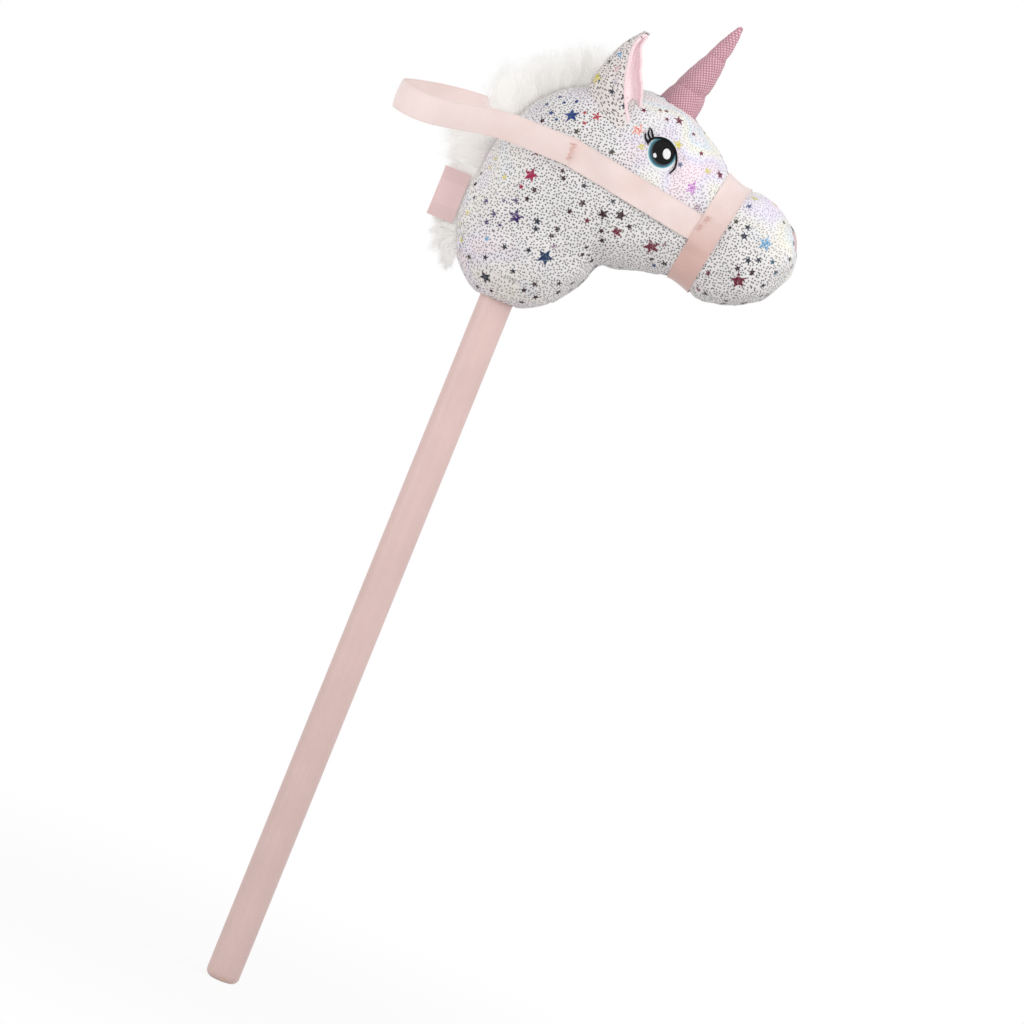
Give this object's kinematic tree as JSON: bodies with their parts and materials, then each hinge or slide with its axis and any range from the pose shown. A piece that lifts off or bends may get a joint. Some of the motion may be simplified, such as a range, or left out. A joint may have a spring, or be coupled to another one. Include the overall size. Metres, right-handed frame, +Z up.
{
  "type": "hobby horse",
  "caption": "Stick toy with a stuffed unicorn head on a round pole, a fur mane, soft horn, cupped ears, a ribbon noseband and a rein loop that swings over the neck.",
  "frame": {"origin": "centre of the flat face at the pole's foot", "axes": "+Z up along the pole, +X the way the horse faces, +Y the horse's left side"},
  "size_m": [0.3114, 0.1086, 0.7786],
  "materials": {
    "star_print_cloth": "soft white woven cloth with a scattered star print",
    "woven_backing": "plain off-white woven lining",
    "polyester_fill": "loose white fibre filling",
    "painted_wood": "pale pink satin paint over a turned dowel",
    "white_plastic": "moulded, matte",
    "white_fur": "long white pile",
    "pink_ribbon": "woven satin ribbon",
    "pink_plush": "short pink plush",
    "spotted_pink_cloth": "dusky pink cloth with small light dots",
    "black_thread": "embroidered thread",
    "rose_thread": "embroidered thread",
    "label_ribbon": "bare woven label, no print"
  },
  "bodies": {
    "horse": {"pole": "painted_wood", "pole_top_cap": "white_plastic", "pole_sleeve": "woven_backing", "sleeve_tie": "white_plastic", "neck_stuffing": "polyester_fill", "head_stuffing": "polyester_fill", "muzzle_stuffing": "polyester_fill", "side_panel_right": "star_print_cloth", "side_panel_left": "star_print_cloth", "face_gusset": "star_print_cloth", "neck_base_panel": "star_print_cloth", "mane_backing": "woven_backing", "mane_fur": "white_fur", "ear_shell_right": "star_print_cloth", "ear_shell_left": "star_print_cloth", "ear_lining_right": "pink_plush", "ear_lining_left": "pink_plush", "horn_cover": "spotted_pink_cloth", "horn_stuffing": "polyester_fill", "cheek_strap_right": "pink_ribbon", "cheek_strap_left": "pink_ribbon", "noseband": "pink_ribbon", "rein_tack_right": "rose_thread", "rein_tack_left": "rose_thread", "eye_right": "black_thread", "eye_left": "black_thread", "nostril_right": "rose_thread", "nostril_left": "rose_thread"},
    "rein": {"rein_loop": "pink_ribbon"},
    "label": {"seam_label": "label_ribbon"}
  },
  "joints": [
    {"name": "rein_swing", "type": "hinge", "parent": "horse", "child": "rein", "pos_m": [0.0124, 0, 0.6484], "axis": [0, 1, 0], "range_deg": [-68, 115]},
    {"name": "label_flap", "type": "hinge", "parent": "horse", "child": "label", "pos_m": [-0.04992, -0.01479, 0.588], "axis": [0, 0, 1], "range_deg": [0, 100]}
  ]
}
